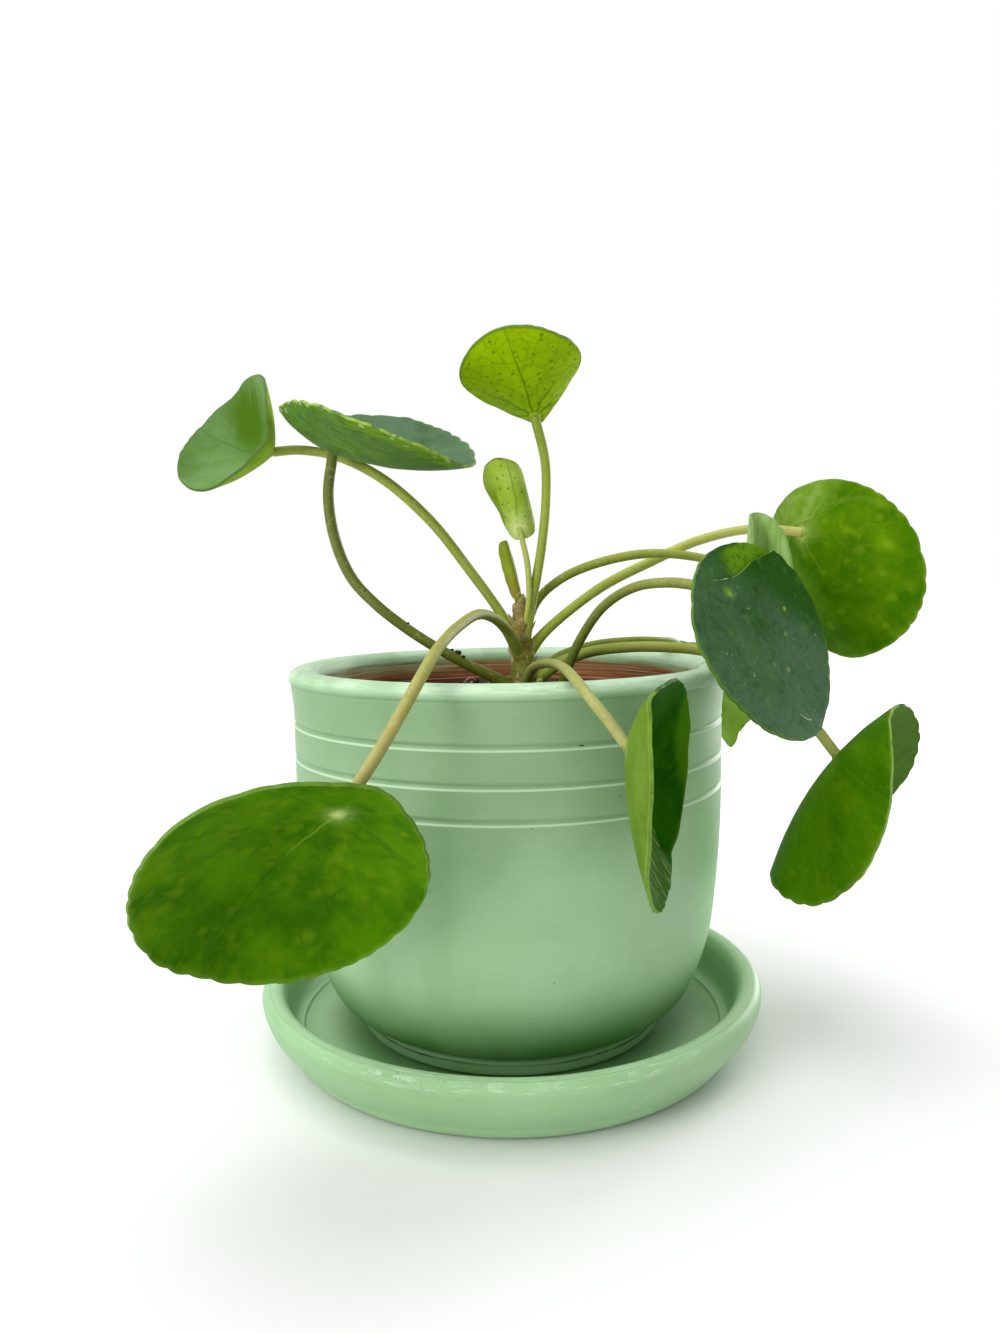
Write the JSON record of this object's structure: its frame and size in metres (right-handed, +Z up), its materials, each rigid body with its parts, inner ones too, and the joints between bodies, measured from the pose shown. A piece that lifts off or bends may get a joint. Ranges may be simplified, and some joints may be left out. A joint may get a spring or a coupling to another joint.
{
  "type": "potted plant",
  "caption": "Potted plant with round coin-shaped leaves on long arching stalks, in a rounded glazed pot with grooves, standing on its saucer.",
  "frame": {"origin": "middle of the saucer's flat underside, on the surface that it stands on", "axes": "+Z up, -Y towards the front of the plant as seen, +X to the right"},
  "size_m": [0.2245, 0.1761, 0.1973],
  "materials": {
    "glaze_saucer": "satin sage green paint over clay",
    "glaze_pot": "satin sage green paint over clay, bare clay inside",
    "soil": "dark crumbly potting soil",
    "stem": "olive green, waxy",
    "blade_cool": "blue green upper face, waxy",
    "blade_warm": "fresh green, waxy",
    "blade_young": "light yellow green, thin"
  },
  "bodies": {
    "root": {"saucer": "glaze_saucer", "pot": "glaze_pot", "soil": "soil", "stem": "stem", "blade_far_left": "blade_cool", "blade_upper_left": "blade_cool", "blade_top": "blade_young", "blade_small": "blade_young", "blade_bud": "blade_young", "blade_right": "blade_warm", "blade_behind_right": "blade_cool", "blade_big_right": "blade_cool", "blade_low_right": "blade_warm", "blade_hidden_right": "blade_warm", "blade_front_right": "blade_warm", "blade_big_left": "blade_warm"}
  },
  "joints": []
}
